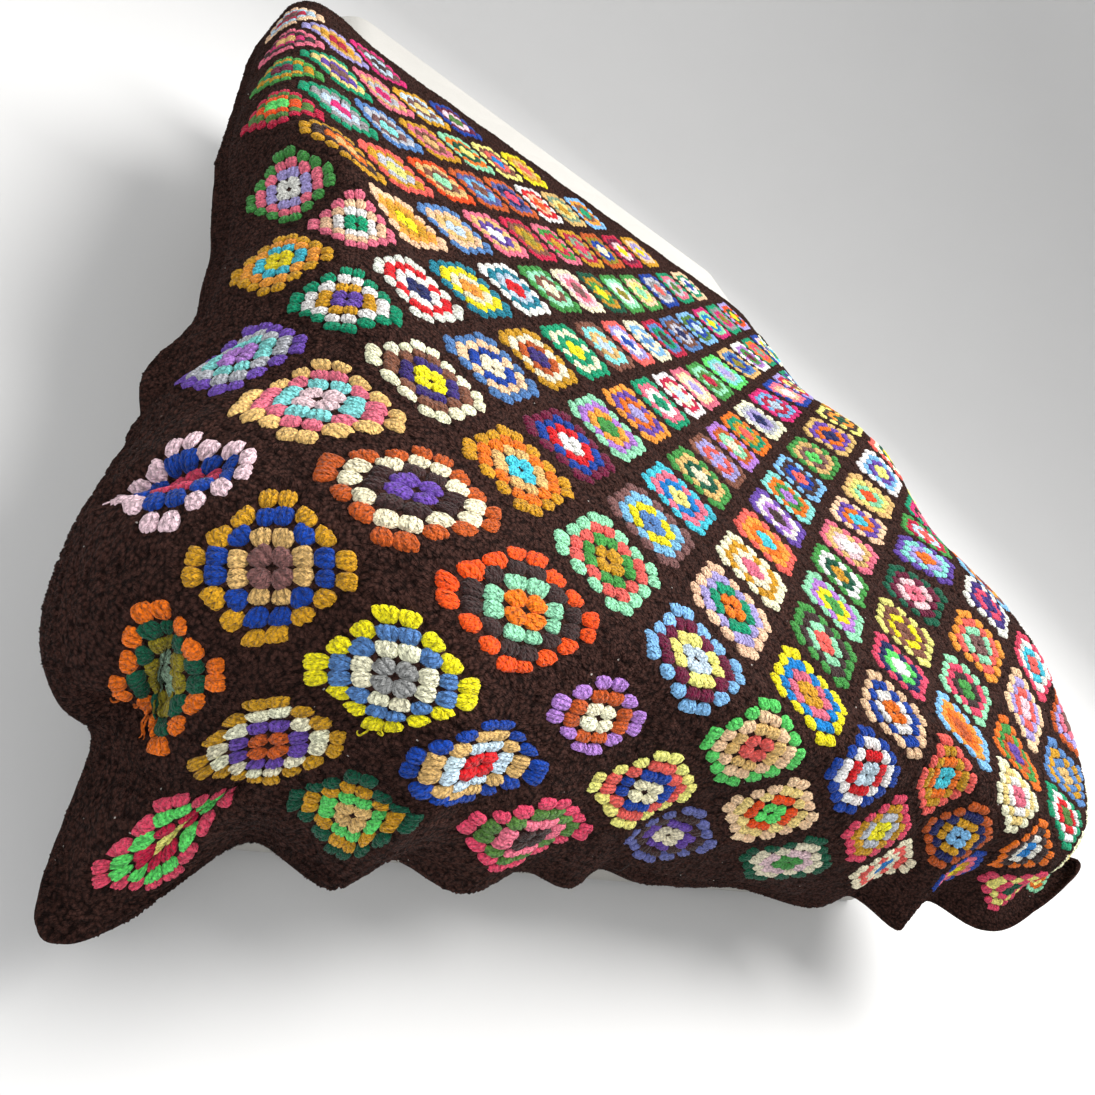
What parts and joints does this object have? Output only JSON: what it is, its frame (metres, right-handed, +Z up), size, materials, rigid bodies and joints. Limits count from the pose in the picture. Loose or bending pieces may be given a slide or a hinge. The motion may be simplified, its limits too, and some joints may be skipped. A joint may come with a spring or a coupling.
{
  "type": "granny square blanket on a mattress and bed base",
  "caption": "Crocheted patchwork blanket of many-coloured squares on a dark brown ground, draped over the foot corner of a plain mattress on a box base.",
  "frame": {"origin": "on the floor, under the centre of the whole object's box", "axes": "+X to the right along the foot of the bed, +Y from the foot to the head, +Z up"},
  "size_m": [1.608, 2.033, 0.5757],
  "materials": {
    "yarn": "matte crocheted yarn, many colours on dark brown",
    "ticking": "plain woven cotton, matte",
    "base_cloth": "plain upholstery cloth, matte"
  },
  "bodies": {
    "root": {"blanket": "yarn", "mattress": "ticking", "bed_base": "base_cloth"}
  },
  "joints": []
}
